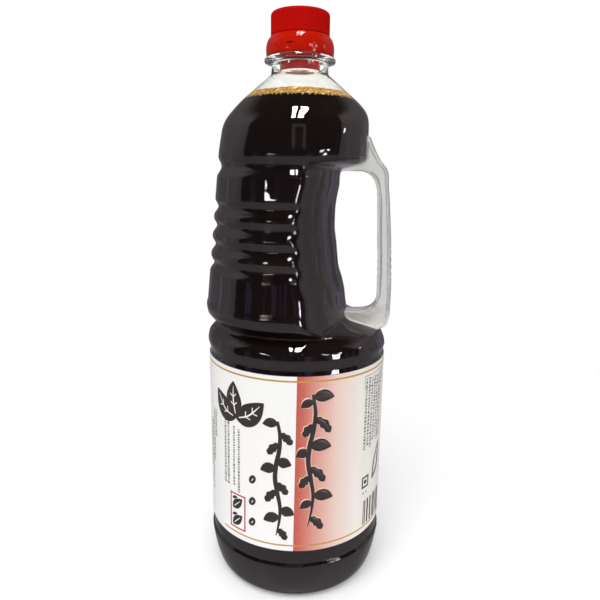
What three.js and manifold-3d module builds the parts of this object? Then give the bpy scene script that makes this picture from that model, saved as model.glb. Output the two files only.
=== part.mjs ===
// A large clear bottle of soy sauce with a side handle, a printed wrap label and a two-piece screw cap.
// Millimetres, +Z up. The origin is where the bottle's axis meets the floor. The handle points along +X.

import * as THREE from "three";
import { mergeVertices } from "three/addons/utils/BufferGeometryUtils.js";
import Module from "manifold-3d";

const wasm = await Module();
wasm.setup();

// Driving dimensions of the round body
const STANDING_RING = { inner: 38.5, outer: 42.2 };
const PUSH_UP_HEIGHT = 6;
const FLOOR_INSIDE = 8;
const FLOOR_RADIUS = 44;
const LABEL_BOTTOM = 34;
const LABEL_TOP = 133.6;
const LABEL_RADIUS = 51;
const LABEL_THICKNESS = 0.3;
const PANEL_RADIUS = 50.5;
const WALL = 1.4;
const MOUTH_HEIGHT = 300;
const MOUTH_RADIUS = 12.3;
const BORE_BOTTOM = 284.5;
const GAP = 0.3;

// Height and outside radius of the pushed-up underside, from near the axis out to the standing ring
const UNDERSIDE_PROFILE = [
  [5, 22],
  [3, 34],
  [0, STANDING_RING.inner],
];

// The same for the round body, from the standing ring up to the foot of the grip
const LOWER_PROFILE = [
  [0, STANDING_RING.outer],
  [1.2, 44.2],
  [5, 47.2],
  [13, 49.5],
  [23, 51],
  [28.6, 51.4],
  [31, 50.9],
  [LABEL_BOTTOM, PANEL_RADIUS],
  [LABEL_TOP, PANEL_RADIUS],
  [136.2, 50.2],
  [141.5, 51.5],
  [145, 51],
  [147.8, 49],
  [151.3, 45.6],
  [154.8, 49.3],
  [158, 51.5],
  [161.8, 52],
  [164.5, 51.3],
];

// The same for the shoulder and the neck
const UPPER_PROFILE = [
  [245, 43.7],
  [251, 42.7],
  [257, 41.5],
  [261.6, 39.4],
  [266.4, 35.5],
  [271.4, 30.7],
  [277.3, 23.7],
  [283.2, 17],
  [284.6, 15.4],
  [289.6, 15.1],
  [290.6, 18.6],
  [291.6, 18.9],
  [292.7, 18.5],
  [293, 14.7],
  [MOUTH_HEIGHT, 14.7],
];

// Grooves pressed round the grip: a wide one under the shoulder, then four evenly spaced ones
const GROOVE_DEPTH = 2;
const WIDE_GROOVE = { height: 236.8, halfWidth: 5.6 };
const RIB_GROOVES = { first: 185, pitch: 10.2, count: 4, halfWidth: 4.6 };

// How far the body reaches towards the handle at each height: a sloping shelf at the foot of the grip,
// an upright wall behind the handle, an overhang and a flattened shoulder
const HANDLE_SIDE = [
  [134, 58],
  [139, 53.2],
  [141.5, 51.8],
  [143.6, 50.2],
  [146, 49],
  [147.6, 48.3],
  [149.1, 47.3],
  [150, 43.8],
  [151.4, 38],
  [153.2, 31.5],
  [155.6, 28.7],
  [160, 27.8],
  [171, 26.2],
  [182, 23],
  [195, 21.5],
  [206, 20.2],
  [214, 20.3],
  [221, 21],
  [228, 22.2],
  [233, 22.4],
  [236, 23.8],
  [237.4, 27.5],
  [238.6, 33],
  [239.8, 36.2],
  [242, 37.6],
  [MOUTH_HEIGHT, 37.6],
];
// How strongly that side bows, by height
const SIDE_BOW = [
  [134, 0.006],
  [232, 0.006],
  [236, 0.0075],
  [239, 0.011],
  [244, 0.0095],
  [MOUTH_HEIGHT, 0.0095],
];
const RECESS_TOP = 285;
const EDGE_ROUNDING = { radius: 4.5, from: 134, to: 142 };
// Two shallow upright channels in the wall behind the handle
const CHANNEL = { centre: 13, halfWidth: 7, depth: 1.2, bottom: 168, top: 222, fade: 8 };

// Contents
const LIQUID_LEVEL = 272;
const FOAM_THICKNESS = 3.4;

// Handle
const HANDLE_WIDTH = 12;
const HANDLE_WEB = 2.6;
const HANDLE_RIM = 1.3;
// Heights between which the body cuts the handle's arms to length
const ARM_CUT = { bottom: 100, top: 280 };

// Cap
const CAP_BOTTOM = 293.3;
const CAP_SEAM = 303.7;
const CAP_TOP = 315.4;
const LID_RADIUS = 15.5;
const LID_FILLET = 2.8;
const PLUG_RADIUS = 11.6;
const PLUG_BOTTOM = 285.7;
const SKIRT_BORE = 15.1;

// Radius and height of the skirt's outside, from its lower edge up to the seam under the lid
const SKIRT_PROFILE = [
  [17.6, CAP_BOTTOM],
  [17.95, 295.4],
  [18, 297.2],
  [17.75, 299.2],
  [17.1, 301.2],
  [16, 302.8],
  [15.1, CAP_SEAM - GAP],
];

const ROUND_SEGMENTS = 36;
const LABEL_SEGMENTS = 50;

// Columns round the body: [from, to, steps] in degrees from the handle, finer at the grip's edges
const COLUMN_STRETCHES = [
  [0, 52, 7],
  [52, 92, 10],
  [92, 180, 8],
];

// A smooth curve through points that never swings past them
function curveThrough(points) {
  const slope = (i) => (points[i + 1][1] - points[i][1]) / (points[i + 1][0] - points[i][0]);
  const last = points.length - 1;
  const tangents = points.map((point, i) => {
    if (i === 0 || i === last) return slope(Math.min(i, last - 1));
    const before = slope(i - 1);
    const after = slope(i);
    if (before * after <= 0) return 0;
    return (2 * before * after) / (before + after);
  });
  return (at) => {
    if (at <= points[0][0]) return points[0][1];
    if (at >= points[last][0]) return points[last][1];
    const i = points.findIndex((point) => point[0] > at) - 1;
    const span = points[i + 1][0] - points[i][0];
    const t = (at - points[i][0]) / span;
    const rise = (1 + 2 * t) * (1 - t) * (1 - t) * points[i][1] + t * t * (3 - 2 * t) * points[i + 1][1];
    const lean = t * (1 - t) * (1 - t) * tangents[i] - t * t * (1 - t) * tangents[i + 1];
    return rise + span * lean;
  };
}

const lowerRadius = curveThrough(LOWER_PROFILE);
const upperRadius = curveThrough(UPPER_PROFILE);
const handleSide = curveThrough(HANDLE_SIDE);
const sideBow = curveThrough(SIDE_BOW);

// 1 in the middle of a groove, falling to 0 at its edges
function bump(distance, halfWidth) {
  const t = Math.min(Math.abs(distance) / halfWidth, 1);
  return (1 + Math.cos(Math.PI * t)) / 2;
}

function smoothStep(from, to, at) {
  const t = THREE.MathUtils.clamp((at - from) / (to - from), 0, 1);
  return t * t * (3 - 2 * t);
}

function grooveCut(height) {
  let cut = bump(height - WIDE_GROOVE.height, WIDE_GROOVE.halfWidth);
  for (let i = 0; i < RIB_GROOVES.count; i += 1) {
    cut += bump(height - RIB_GROOVES.first - i * RIB_GROOVES.pitch, RIB_GROOVES.halfWidth);
  }
  return GROOVE_DEPTH * cut;
}

// Radius of the round body without its grip recess
function roundRadius(height) {
  const gripBottom = LOWER_PROFILE[LOWER_PROFILE.length - 1];
  const gripTop = UPPER_PROFILE[0];
  if (height <= gripBottom[0]) return lowerRadius(height);
  if (height >= gripTop[0]) return upperRadius(height);
  const t = (height - gripBottom[0]) / (gripTop[0] - gripBottom[0]);
  return THREE.MathUtils.lerp(gripBottom[1], gripTop[1], t) - grooveCut(height);
}

// Radius at which a ray at this angle from the handle meets the bowed wall behind the handle
function recessRadius(angle, height) {
  const sine = Math.sin(angle);
  const cosine = Math.cos(angle);
  const bend = sideBow(height) * sine * sine;
  const reach = handleSide(height);
  if (bend < 1e-9) return cosine > 0 ? reach : Infinity;
  const radius = (Math.sqrt(cosine * cosine + 4 * bend * reach) - cosine) / (2 * bend);
  const inChannel = bump(Math.abs(radius * sine) - CHANNEL.centre, CHANNEL.halfWidth);
  const along = smoothStep(CHANNEL.bottom, CHANNEL.bottom + CHANNEL.fade, height);
  const ending = smoothStep(CHANNEL.top, CHANNEL.top - CHANNEL.fade, height);
  return cosine > 0 ? radius - CHANNEL.depth * inChannel * along * ending : radius;
}

// The smaller of two radii, with the edge between them rounded off
function roundedSmaller(a, b, rounding) {
  const near = Math.max(rounding - Math.abs(a - b), 0) / rounding;
  return Math.min(a, b) - (near * near * rounding) / 4;
}

function bodyRadius(angle, height) {
  const round = roundRadius(height);
  const rounding = EDGE_ROUNDING.radius * smoothStep(EDGE_ROUNDING.from, EDGE_ROUNDING.to, height);
  if (rounding === 0 || height > RECESS_TOP) return round;
  return roundedSmaller(round, recessRadius(angle, height), rounding);
}

function columnAngles() {
  const half = [];
  for (const [from, to, steps] of COLUMN_STRETCHES) {
    for (let i = 0; i < steps; i += 1) half.push(from + ((to - from) * i) / steps);
  }
  const degrees = [...half, 180, ...half.slice(1).reverse().map((angle) => 360 - angle)];
  return degrees.map((angle) => THREE.MathUtils.degToRad(angle));
}

const ANGLES = columnAngles();

function heightsBetween(from, to, steps) {
  return Array.from({ length: steps + 1 }, (unused, i) => from + ((to - from) * i) / steps);
}

// One ring of points round the axis, at a height, with a radius given as a number or by angle
function ring(height, radius) {
  return ANGLES.map((angle) => {
    const r = typeof radius === "number" ? radius : radius(angle, height);
    return [r * Math.cos(angle), r * Math.sin(angle), height];
  });
}

function distance(a, b) {
  return Math.hypot(a[0] - b[0], a[1] - b[1], a[2] - b[2]);
}

// A closed skin over rings of equal length, shut at each end by a point on the axis
function skin(rings, startHeight, endHeight) {
  const positions = [[0, 0, startHeight], ...rings.flat(), [0, 0, endHeight]];
  const count = ANGLES.length;
  const end = positions.length - 1;
  const at = (row, column) => 1 + row * count + (column % count);
  const faces = [];
  for (let column = 0; column < count; column += 1) {
    faces.push(0, at(0, column + 1), at(0, column));
    for (let row = 0; row < rings.length - 1; row += 1) {
      const a = at(row, column);
      const b = at(row, column + 1);
      const c = at(row + 1, column + 1);
      const d = at(row + 1, column);
      const split = distance(positions[a], positions[c]) <= distance(positions[b], positions[d]);
      faces.push(...(split ? [a, b, c, a, c, d] : [a, b, d, b, c, d]));
    }
    faces.push(end, at(rings.length - 1, column), at(rings.length - 1, column + 1));
  }
  const geometry = new THREE.BufferGeometry();
  geometry.setAttribute("position", new THREE.Float32BufferAttribute(positions.flat(), 3));
  geometry.setIndex(faces);
  return geometry;
}

// Heights of the outer wall's rings, close together where the profile bends
const LOWEST_CREST = RIB_GROOVES.first - RIB_GROOVES.pitch / 2;
const HIGHEST_CREST = LOWEST_CREST + RIB_GROOVES.count * RIB_GROOVES.pitch;
const OUTER_HEIGHTS = [
  ...[0, 1.2, 5, 13, 22, 28.6, 31, LABEL_BOTTOM],
  ...[LABEL_TOP, 136.2, 141.5, 145, 147.8, 149.5, 151.3, 153.2, 155.2, 158, 161.8, 164.5, 172],
  ...heightsBetween(LOWEST_CREST, HIGHEST_CREST, 4 * RIB_GROOVES.count),
  ...[226, 231.2, 234.4, 236.8, 238.2, 239.8, 242.4, 246, 251, 257, 261.6, 266.4, 271.4, 277.3, 283.2],
  ...[284.6, 289.6, 290.6, 292.7, 293, MOUTH_HEIGHT],
];

// Heights of the inner wall's rings: each groove only at its deepest, so that the wall stays clear of it
const INNER_HEIGHTS = [
  ...[22, LABEL_BOTTOM, LABEL_TOP, 141.5, 147, 151.3, 153.2, 155.6, 161.5, 172],
  ...heightsBetween(RIB_GROOVES.first, HIGHEST_CREST - RIB_GROOVES.pitch / 2, RIB_GROOVES.count - 1),
  ...[231.4, 235.2, 242.2, 248, 256, 262, 267, LIQUID_LEVEL],
];

function innerRadius(angle, height) {
  return bodyRadius(angle, height) - WALL;
}

function bottleGeometry() {
  const underside = UNDERSIDE_PROFILE.map(([height, radius]) => ring(height, radius));
  const outside = OUTER_HEIGHTS.map((height) => ring(height, bodyRadius));
  const bore = [ring(MOUTH_HEIGHT, MOUTH_RADIUS), ring(BORE_BOTTOM, MOUTH_RADIUS)];
  const shoulder = ring(LIQUID_LEVEL + 4, innerRadius);
  const inside = [...INNER_HEIGHTS].reverse().map((height) => ring(height, innerRadius));
  const floor = ring(FLOOR_INSIDE, FLOOR_RADIUS);
  const rings = [...underside, ...outside, ...bore, shoulder, ...inside, floor];
  return skin(rings, PUSH_UP_HEIGHT, FLOOR_INSIDE);
}

function liquidGeometry() {
  const radius = (angle, height) => innerRadius(angle, height) - GAP;
  const bottom = FLOOR_INSIDE + GAP;
  const walls = INNER_HEIGHTS.map((height) => ring(height, radius));
  return skin([ring(bottom, FLOOR_RADIUS - GAP), ...walls], bottom, LIQUID_LEVEL);
}

function foamGeometry() {
  const radius = (angle, height) => innerRadius(angle, height) - 2 * GAP;
  const bottom = LIQUID_LEVEL + GAP;
  const top = bottom + FOAM_THICKNESS;
  return skin([ring(bottom, radius), ring(top, radius)], bottom, top);
}

// A closed body of revolution about +Z from [radius, height] points
function turned(points, segments) {
  const outline = points.map(([radius, height]) => new THREE.Vector2(radius, height));
  const geometry = new THREE.LatheGeometry(outline, segments);
  geometry.rotateX(Math.PI / 2);
  return geometry;
}

function labelGeometry() {
  const inner = LABEL_RADIUS - LABEL_THICKNESS;
  return turned(
    [
      [inner, LABEL_BOTTOM],
      [LABEL_RADIUS, LABEL_BOTTOM],
      [LABEL_RADIUS, LABEL_TOP],
      [inner, LABEL_TOP],
      [inner, LABEL_BOTTOM],
    ],
    LABEL_SEGMENTS,
  );
}

// Skirt, flat top and plug in one moulding
function capBaseGeometry() {
  const seat = MOUTH_HEIGHT + GAP;
  return turned(
    [
      [0, PLUG_BOTTOM + 1.2],
      [PLUG_RADIUS - 1.6, PLUG_BOTTOM],
      [PLUG_RADIUS, PLUG_BOTTOM],
      [PLUG_RADIUS, seat],
      [SKIRT_BORE, seat],
      [SKIRT_BORE, CAP_BOTTOM],
      ...SKIRT_PROFILE,
      [0, CAP_SEAM - GAP],
    ],
    ROUND_SEGMENTS,
  );
}

function capLidGeometry() {
  const corner = [15, 35, 55, 75].map((degrees) => {
    const angle = THREE.MathUtils.degToRad(degrees);
    const radius = LID_RADIUS - LID_FILLET + LID_FILLET * Math.cos(angle);
    return [radius, CAP_TOP - LID_FILLET + LID_FILLET * Math.sin(angle)];
  });
  return turned(
    [
      [0, CAP_SEAM],
      [LID_RADIUS - 0.3, CAP_SEAM],
      [LID_RADIUS, CAP_SEAM + 0.5],
      [LID_RADIUS, CAP_TOP - LID_FILLET],
      ...corner,
      [LID_RADIUS - LID_FILLET, CAP_TOP],
      [0, CAP_TOP],
    ],
    ROUND_SEGMENTS,
  );
}

function solidOf(geometry) {
  const bare = geometry.clone();
  for (const name of Object.keys(bare.attributes)) {
    if (name !== "position") bare.deleteAttribute(name);
  }
  const merged = mergeVertices(bare, 1e-4);
  const mesh = new wasm.Mesh({
    numProp: 3,
    vertProperties: merged.attributes.position.array,
    triVerts: new Uint32Array(merged.index.array),
  });
  return new wasm.Manifold(mesh);
}

function geometryOf(solid) {
  const mesh = solid.getMesh();
  const geometry = new THREE.BufferGeometry();
  geometry.setAttribute("position", new THREE.Float32BufferAttribute(mesh.vertProperties, 3));
  geometry.setIndex(new THREE.Uint32BufferAttribute(mesh.triVerts, 1));
  return geometry;
}

// Outline of the handle in its own plane, as distance from the axis and height. The two arms start
// inside the body's outline, where the body then cuts them to length.
function handleOutline(inset) {
  const path = new THREE.Path();
  path.moveTo(16, 235.3 - inset);
  path.lineTo(34, 235.3 + 0.3 * inset);
  path.quadraticCurveTo(43.6 + inset, 234.6 + 0.4 * inset, 43.9 + inset, 222);
  path.quadraticCurveTo(45.1 + inset, 198, 45.7 + inset, 171);
  path.quadraticCurveTo(45.9 + inset, 160 - inset, 37, 159 - inset);
  path.lineTo(20, 157.6 - inset);
  path.lineTo(20, 140);
  path.lineTo(44, 140);
  path.lineTo(46.2 - 0.3 * inset, 148.6 + inset);
  path.quadraticCurveTo(52.2 - 0.8 * inset, 150.2 + inset, 53 - inset, 155);
  path.quadraticCurveTo(53.6 - inset, 180, 51.5 - inset, 203);
  path.quadraticCurveTo(50.6 - inset, 217, 49.2 - inset, 229.5);
  path.quadraticCurveTo(49.4 - inset, 235.4 - 0.3 * inset, 47.4 - inset, 237.4 - 0.3 * inset);
  path.quadraticCurveTo(42 - inset, 243.6 - 0.6 * inset, 38.6 - inset, 253 - 0.8 * inset);
  path.lineTo(30, 253 - 0.8 * inset);
  path.lineTo(16, 243);
  path.closePath();
  return new THREE.Shape(path.getPoints(4));
}

// The outline raised to a slab, standing in the plane of the handle
function handleSlab(inset, thickness) {
  const slab = { depth: thickness, bevelEnabled: false };
  const geometry = new THREE.ExtrudeGeometry(handleOutline(inset), slab);
  geometry.rotateX(Math.PI / 2);
  geometry.translate(0, thickness / 2, 0);
  return geometry;
}

// The body between the handle's arms, this much larger all round
function bodyEnvelope(clearance) {
  const radius = (angle, height) => bodyRadius(angle, height) + clearance;
  const heights = OUTER_HEIGHTS.filter((height) => height > ARM_CUT.bottom && height < ARM_CUT.top);
  return skin(heights.map((height) => ring(height, radius)), ARM_CUT.bottom, ARM_CUT.top);
}

// A clear strap with a thick rim all round and a thin web between
function handleGeometry() {
  const blank = solidOf(handleSlab(0, HANDLE_WIDTH));
  const pocketDepth = (HANDLE_WIDTH - HANDLE_WEB) / 2;
  const pocket = handleSlab(HANDLE_RIM, pocketDepth);
  const reach = (HANDLE_WEB + pocketDepth) / 2;
  const pockets = [-reach, reach].map((side) => solidOf(pocket.clone().translate(0, side, 0)));
  const ends = solidOf(bodyEnvelope(GAP));
  const shortPockets = pockets.map((solid) => solid.subtract(solidOf(bodyEnvelope(GAP + HANDLE_RIM))));
  return geometryOf(blank.subtract(shortPockets[0]).subtract(shortPockets[1]).subtract(ends));
}

function material(color, roughness, opacity = 1) {
  const transparent = opacity < 1;
  return new THREE.MeshStandardMaterial({ color, roughness, opacity, transparent });
}

const parts = [
  ["bottle", bottleGeometry(), material("#e8ece4", 0.08, 0.35)],
  ["soy_sauce", liquidGeometry(), material("#1a0f0a", 0.1)],
  ["foam", foamGeometry(), material("#b98f3f", 0.6)],
  ["label", labelGeometry(), material("#f3efe6", 0.45)],
  ["handle", handleGeometry(), material("#dfe2dc", 0.1, 0.5)],
  ["cap_base", capBaseGeometry(), material("#cf2f14", 0.35)],
  ["cap_lid", capLidGeometry(), material("#b3130e", 0.4)],
];

const group = new THREE.Group();
for (const [name, geometry, finish] of parts) {
  const mesh = new THREE.Mesh(geometry, finish);
  mesh.name = name;
  group.add(mesh);
}

export default group;
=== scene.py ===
"""A large clear bottle of soy sauce with a side handle, a printed wrap label and a two-piece screw cap.

Lengths in the tables below are in millimetres. The handle points along +X, and angles are measured
from it round the bottle's axis, anticlockwise seen from above.
"""

import math

import bmesh
import bpy
import numpy as np
from mathutils import Matrix, Vector


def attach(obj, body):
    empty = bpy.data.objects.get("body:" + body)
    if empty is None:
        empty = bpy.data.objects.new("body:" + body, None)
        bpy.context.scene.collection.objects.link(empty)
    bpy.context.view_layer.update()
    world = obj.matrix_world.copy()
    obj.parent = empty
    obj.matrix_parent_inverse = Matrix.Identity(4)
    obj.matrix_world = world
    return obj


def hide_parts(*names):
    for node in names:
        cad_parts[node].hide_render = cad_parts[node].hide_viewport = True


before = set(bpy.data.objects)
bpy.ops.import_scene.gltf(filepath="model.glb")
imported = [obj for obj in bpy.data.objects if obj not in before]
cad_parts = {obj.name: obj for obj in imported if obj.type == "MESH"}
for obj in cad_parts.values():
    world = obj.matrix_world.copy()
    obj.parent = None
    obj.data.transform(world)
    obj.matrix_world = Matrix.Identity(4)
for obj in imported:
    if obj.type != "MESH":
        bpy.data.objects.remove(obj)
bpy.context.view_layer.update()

MM = 0.001
TURN = 2 * math.pi

# Shape of the bottle

STANDING_RADIUS, RING_TOP = 42.2, 1.2
LABEL_RADIUS, LABEL_THICKNESS, LABEL_BOTTOM, LABEL_TOP = 51, 0.3, 34, 133.6
# Height and outside radius of the round body, up to the foot of the grip
LOWER_PROFILE = [
    (0, STANDING_RADIUS), (RING_TOP, 44.2), (5, 47.2), (13, 49.6), (21, 51), (24, 51.3), (24.9, 50.8),
    (25.7, 50.35), (26.7, 50.5), (LABEL_BOTTOM, 50.5), (LABEL_TOP, 50.5), (136.2, 50.2), (141.5, 51.5),
    (145, 51), (147.8, 49), (151.3, 45.6), (154.8, 49.3), (158, 51.5), (161.8, 52), (164.5, 51.3),
]
# The same for the shoulder and the neck
UPPER_PROFILE = [
    (245, 43.7), (251, 42.7), (257, 41.5), (261.6, 39.4), (266.4, 35.5), (271.4, 30.7), (277.3, 23.7),
    (283.2, 17), (284.6, 15.4), (289.6, 15.1), (290.6, 18.6), (291.6, 18.9), (292.7, 18.5), (293, 14.7),
    (300, 14.7),
]
# How far the body reaches towards the handle at each height
HANDLE_SIDE = [
    (134, 58), (139, 53.2), (141.5, 51.8), (143.6, 50.2), (146, 49), (147.6, 48.3), (149.1, 47.3),
    (150, 43.8), (151.4, 38), (153.2, 31.5),
    (155.6, 28.7), (160, 27.8), (171, 26.2), (182, 23), (195, 21.5), (206, 20.2), (214, 20.3),
    (221, 21), (228, 22.2), (233, 22.4), (236, 23.8), (237.4, 27.5), (238.6, 33), (239.8, 36.2),
    (242, 37.6), (300, 37.6),
]
# How strongly that side bows, by height
SIDE_BOW = [(134, 0.006), (232, 0.006), (236, 0.0075), (239, 0.011), (244, 0.0095), (300, 0.0095)]
# Radius and height of the pushed-up underside
UNDERSIDE = [(0, 6), (22, 5), (34, 3), (38.5, 0)]
GRIP_BOTTOM, GRIP_TOP = LOWER_PROFILE[-1], UPPER_PROFILE[0]
GROOVE_DEPTH = 2
GROOVES = [(236.8, 5.6)] + [(185 + 10.2 * i, 4.6) for i in range(4)]
EDGE_ROUNDING, ROUNDING_STARTS, RECESS_TOP = 4, (134, 142), 285
CHANNEL_CENTRE, CHANNEL_HALF, CHANNEL_DEPTH = 13, 7, 1.2
CHANNEL_BOTTOM, CHANNEL_TOP, CHANNEL_FADE = 168, 222, 8
# The shell's wall, the radius that it never passes, and the bore of its neck
WALL, SHELL_LIMIT = 0.55, 51.95
BORE_RADIUS, BORE_THICKENING, BORE_BLEND = 13.9, 0.55, (281.5, 289)
SEAM_RIDGE, SEAM_HALF, SEAM_ENDS = 0.16, math.radians(0.5), (3, 289)
LIQUID_DEPTH, LIQUID_LEVEL = 0.3, 271.8
# The liquid's rim: how far it draws back from the wall, between which heights, and its last step up
RIM_GAP, RIM_BLEND, RIM_STEP = 0.12, (LIQUID_LEVEL - 3, LIQUID_LEVEL - 1), 0.5
FOAM_TOP = 275.1
PANEL_EDGE, PANEL_END = math.radians(-78.4), math.radians(-29)
# How far the wrap leans towards the panel's left, in millimetres for each millimetre down
LABEL_LEAN = 0.012


def curve_through(points):
    """A smooth curve through points that never swings past them."""
    x, y = (np.array(column, float) for column in zip(*points))
    slope = np.diff(y) / np.diff(x)
    tangent = np.zeros(len(x))
    tangent[0], tangent[-1] = slope[0], slope[-1]
    before, after = slope[:-1], slope[1:]
    same = before * after > 0
    tangent[1:-1][same] = 2 * before[same] * after[same] / (before[same] + after[same])

    def at(value):
        value = np.clip(value, x[0], x[-1])
        i = np.clip(np.searchsorted(x, value, side="right") - 1, 0, len(x) - 2)
        span = x[i + 1] - x[i]
        t = (value - x[i]) / span
        rise = (1 + 2 * t) * (1 - t) ** 2 * y[i] + t * t * (3 - 2 * t) * y[i + 1]
        return rise + span * (t * (1 - t) ** 2 * tangent[i] - t * t * (1 - t) * tangent[i + 1])

    return at


lower_radius = curve_through(LOWER_PROFILE)
upper_radius = curve_through(UPPER_PROFILE)
handle_side = curve_through(HANDLE_SIDE)
side_bow = curve_through(SIDE_BOW)
underside_height = curve_through(UNDERSIDE)


def bump(distance, half):
    """1 in the middle of a groove, falling to 0 at its edges."""
    return (1 + np.cos(np.pi * np.minimum(np.abs(distance) / half, 1))) / 2


def smooth_step(start, end, at):
    t = np.clip((at - start) / (end - start), 0, 1)
    return t * t * (3 - 2 * t)


def round_radius(height):
    """Radius of the round body without its grip recess."""
    t = (height - GRIP_BOTTOM[0]) / (GRIP_TOP[0] - GRIP_BOTTOM[0])
    grip = GRIP_BOTTOM[1] + (GRIP_TOP[1] - GRIP_BOTTOM[1]) * t
    grip = grip - GROOVE_DEPTH * sum(bump(height - middle, half) for middle, half in GROOVES)
    radius = np.where(height <= GRIP_BOTTOM[0], lower_radius(height), grip)
    return np.where(height >= GRIP_TOP[0], upper_radius(height), radius)


def recess_radius(angle, height):
    """Radius at which a ray at this angle from the handle meets the bowed wall behind the handle."""
    sine, cosine = np.sin(angle), np.cos(angle)
    bend = np.maximum(side_bow(height) * sine * sine, 1e-7)
    radius = (np.sqrt(cosine**2 + 4 * bend * handle_side(height)) - cosine) / (2 * bend)
    inside = bump(np.abs(radius * sine) - CHANNEL_CENTRE, CHANNEL_HALF)
    along = smooth_step(CHANNEL_BOTTOM, CHANNEL_BOTTOM + CHANNEL_FADE, height)
    ending = smooth_step(CHANNEL_TOP, CHANNEL_TOP - CHANNEL_FADE, height)
    return np.where(cosine > 0, radius - CHANNEL_DEPTH * inside * along * ending, radius)


def body_radius(angle, height):
    """Outside radius of the bottle; where two surfaces meet, the edge between them is rounded off."""
    outer = round_radius(height)
    recess = recess_radius(angle, height)
    rounding = EDGE_ROUNDING * smooth_step(*ROUNDING_STARTS, height)
    near = np.maximum(rounding - np.abs(outer - recess), 0) / np.maximum(rounding, 1e-6)
    both = np.minimum(outer, recess) - near * near * rounding / 4
    return np.where((rounding <= 0) | (height > RECESS_TOP), outer, both)


def seam_ridge(angle):
    """The fine ridge that the two halves of the mould leave, in line with the handle."""
    off = np.abs((angle + np.pi / 2) % np.pi - np.pi / 2)
    return SEAM_RIDGE * (1 - np.minimum(off / SEAM_HALF, 1))


def stretches(*parts):
    """Numbers from the first start to the last end, where each part is (start, end, steps)."""
    values = [start + (end - start) * i / steps for start, end, steps in parts for i in range(steps)]
    return np.array(values + [parts[-1][1]], float)


# Angles round the body, closest together at the mould's seam and at the edge of the recess
HALF_ROUND = stretches((0, 0.5, 2), (0.5, 45, 34), (45, 95, 72), (95, 179.5, 58), (179.5, 180, 2))
ANGLES = np.radians(np.concatenate([HALF_ROUND, 360 - HALF_ROUND[-2:0:-1]]))
# Heights of the body's rings, closest together where its shape changes
BODY_HEIGHTS = stretches(
    (0, RING_TOP, 3), (RING_TOP, 6, 8), (6, 22, 14), (22, 28, 20), (28, LABEL_BOTTOM, 5),
    (LABEL_BOTTOM, LABEL_TOP, 24), (LABEL_TOP, 233, 120), (233, 248, 24), (248, 284, 36), (284, 289.2, 8),
    (289.2, 293.2, 24), (293.2, 300, 7),
)


def all_round(count):
    return np.linspace(0, TURN, count, endpoint=False)


def rings(angles, heights, radii):
    """Points at these angles, one ring for each height, with radii of shape rings x angles."""
    heights = np.broadcast_to(np.asarray(heights, float).reshape(len(radii), -1), radii.shape)
    return np.stack([radii * np.cos(angles), radii * np.sin(angles), heights], -1)


def level_rings(angles, pairs):
    """Round rings from (radius, height) pairs."""
    radii = np.array([[radius] * len(angles) for radius, height in pairs], float)
    return rings(angles, [height for radius, height in pairs], radii)


def put(name, data):
    made = bpy.data.objects.new(name, data)
    bpy.context.scene.collection.objects.link(made)
    return made


def make_mesh(name, points, faces, sharp_angle=None):
    mesh = bpy.data.meshes.new(name)
    mesh.from_pydata((np.asarray(points) * MM).tolist(), [], faces)
    mesh.update()
    mesh.shade_smooth()
    if sharp_angle:
        mesh.set_sharp_from_angle(angle=math.radians(sharp_angle))
    return put(name, mesh)


def grid_quads(at, closed):
    """Quads of a grid of vertex numbers, whose rows close on themselves if closed is true."""
    following = np.roll(at, -1, axis=1)
    if not closed:
        at, following = at[:, :-1], following[:, :-1]
    return np.stack([at[:-1], following[:-1], following[1:], at[1:]], -1).reshape(-1, 4).tolist()


def skin(name, ring_points, start_height, end_height, sharp_angle=None):
    """A closed body over rings of equal length, shut at each end by a point on the axis."""
    rows, columns = ring_points.shape[:2]
    points = np.vstack([[(0, 0, start_height)], ring_points.reshape(-1, 3), [(0, 0, end_height)]])
    at = 1 + np.arange(rows * columns).reshape(rows, columns)
    faces = grid_quads(at, True)
    end = len(points) - 1
    for column in range(columns):
        beside = (column + 1) % columns
        faces.append([0, int(at[0, beside]), int(at[0, column])])
        faces.append([end, int(at[-1, column]), int(at[-1, beside])])
    return make_mesh(name, points, faces, sharp_angle)


def wall_radii(depth, heights):
    """Radii at this depth below the outside of the body, for each height and angle."""
    angle, height = np.meshgrid(ANGLES, heights)
    return body_radius(angle, height) - depth


FLOOR_RADII = np.linspace(3, UNDERSIDE[-1][0], 13)
# How much higher than its depth the inside of the sloping underside lies
FLOOR_LIFT = 1.3
# Radius inside the standing ring, and how far it lies above the ring
RING_INSIDE, RING_RISE = 40, 0.05


def floor_rings(depth):
    """Rings from near the axis out to the foot of the wall, this deep above the underside."""
    lift = FLOOR_LIFT * depth
    pairs = [(radius, float(underside_height(radius)) + lift) for radius in FLOOR_RADII]
    pairs += [(RING_INSIDE, lift + RING_RISE), (STANDING_RADIUS - depth, lift)]
    return level_rings(ANGLES, pairs)


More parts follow.
